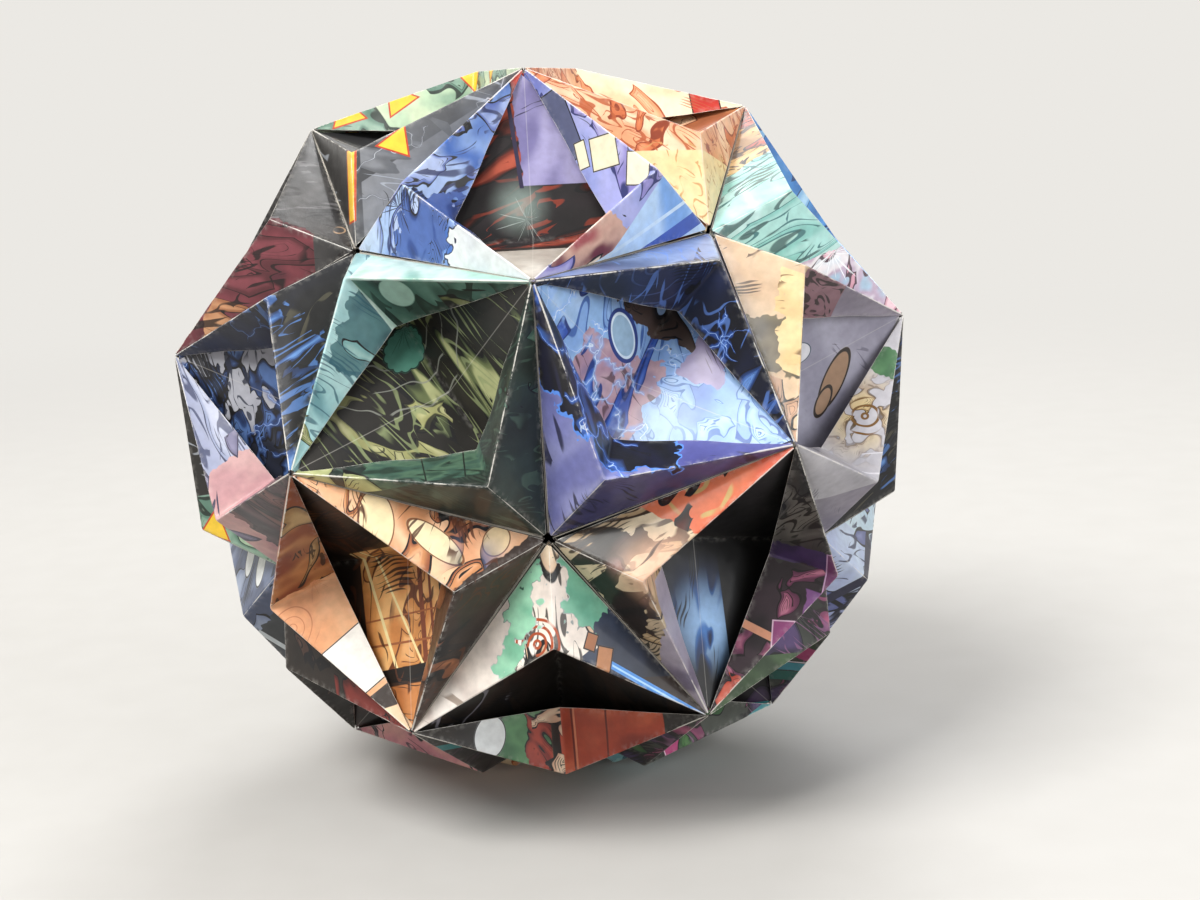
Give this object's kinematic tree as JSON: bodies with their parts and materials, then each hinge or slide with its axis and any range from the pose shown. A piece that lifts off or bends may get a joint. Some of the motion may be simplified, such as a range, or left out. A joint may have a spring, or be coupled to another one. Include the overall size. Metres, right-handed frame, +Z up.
{
  "type": "kusudama paper ball",
  "caption": "Hollow modular paper ball of folded square sheets with pyramid tips and popped-up triangular flaps round open recesses; rests on its own folded corners.",
  "frame": {"origin": "on the surface that the ball rests on, straight under the middle of the ball", "axes": "+Z up; -Y towards the side that the picture shows, with a five-fold hub facing it; +X to the right of that side"},
  "size_m": [0.1674, 0.1696, 0.1686],
  "materials": {
    "print_periwinkle": "coated printed paper, glossy, with pale worn creases",
    "print_green": "coated printed paper, glossy, with pale worn creases",
    "print_navy": "coated printed paper, glossy, with pale worn creases",
    "print_tan": "coated printed paper, glossy, with pale worn creases",
    "print_aqua": "coated printed paper, glossy, with pale worn creases",
    "print_cream": "coated printed paper, glossy, with pale worn creases",
    "print_charcoal": "coated printed paper, glossy, with pale worn creases",
    "print_peach": "coated printed paper, glossy, with pale worn creases",
    "print_crimson": "coated printed paper, glossy, with pale worn creases",
    "print_pink": "coated printed paper, glossy, with pale worn creases"
  },
  "bodies": {
    "root": {"bottom_sheet_1": "print_aqua", "lower_sheet_1": "print_cream", "belt_sheet_1": "print_navy", "belt_sheet_2": "print_cream", "upper_sheet_1": "print_aqua", "top_sheet_1": "print_peach", "bottom_sheet_2": "print_charcoal", "lower_sheet_2": "print_crimson", "belt_sheet_3": "print_tan", "belt_sheet_4": "print_navy", "upper_sheet_2": "print_tan", "top_sheet_2": "print_pink", "bottom_sheet_3": "print_green", "lower_sheet_3": "print_periwinkle", "belt_sheet_5": "print_pink", "belt_sheet_6": "print_cream", "upper_sheet_3": "print_navy", "top_sheet_3": "print_green", "bottom_sheet_4": "print_peach", "lower_sheet_4": "print_aqua", "belt_sheet_7": "print_green", "belt_sheet_8": "print_charcoal", "upper_sheet_4": "print_crimson", "top_sheet_4": "print_periwinkle", "bottom_sheet_5": "print_pink", "lower_sheet_5": "print_tan", "belt_sheet_9": "print_navy", "belt_sheet_10": "print_green", "upper_sheet_5": "print_periwinkle", "top_sheet_5": "print_charcoal"}
  },
  "joints": []
}
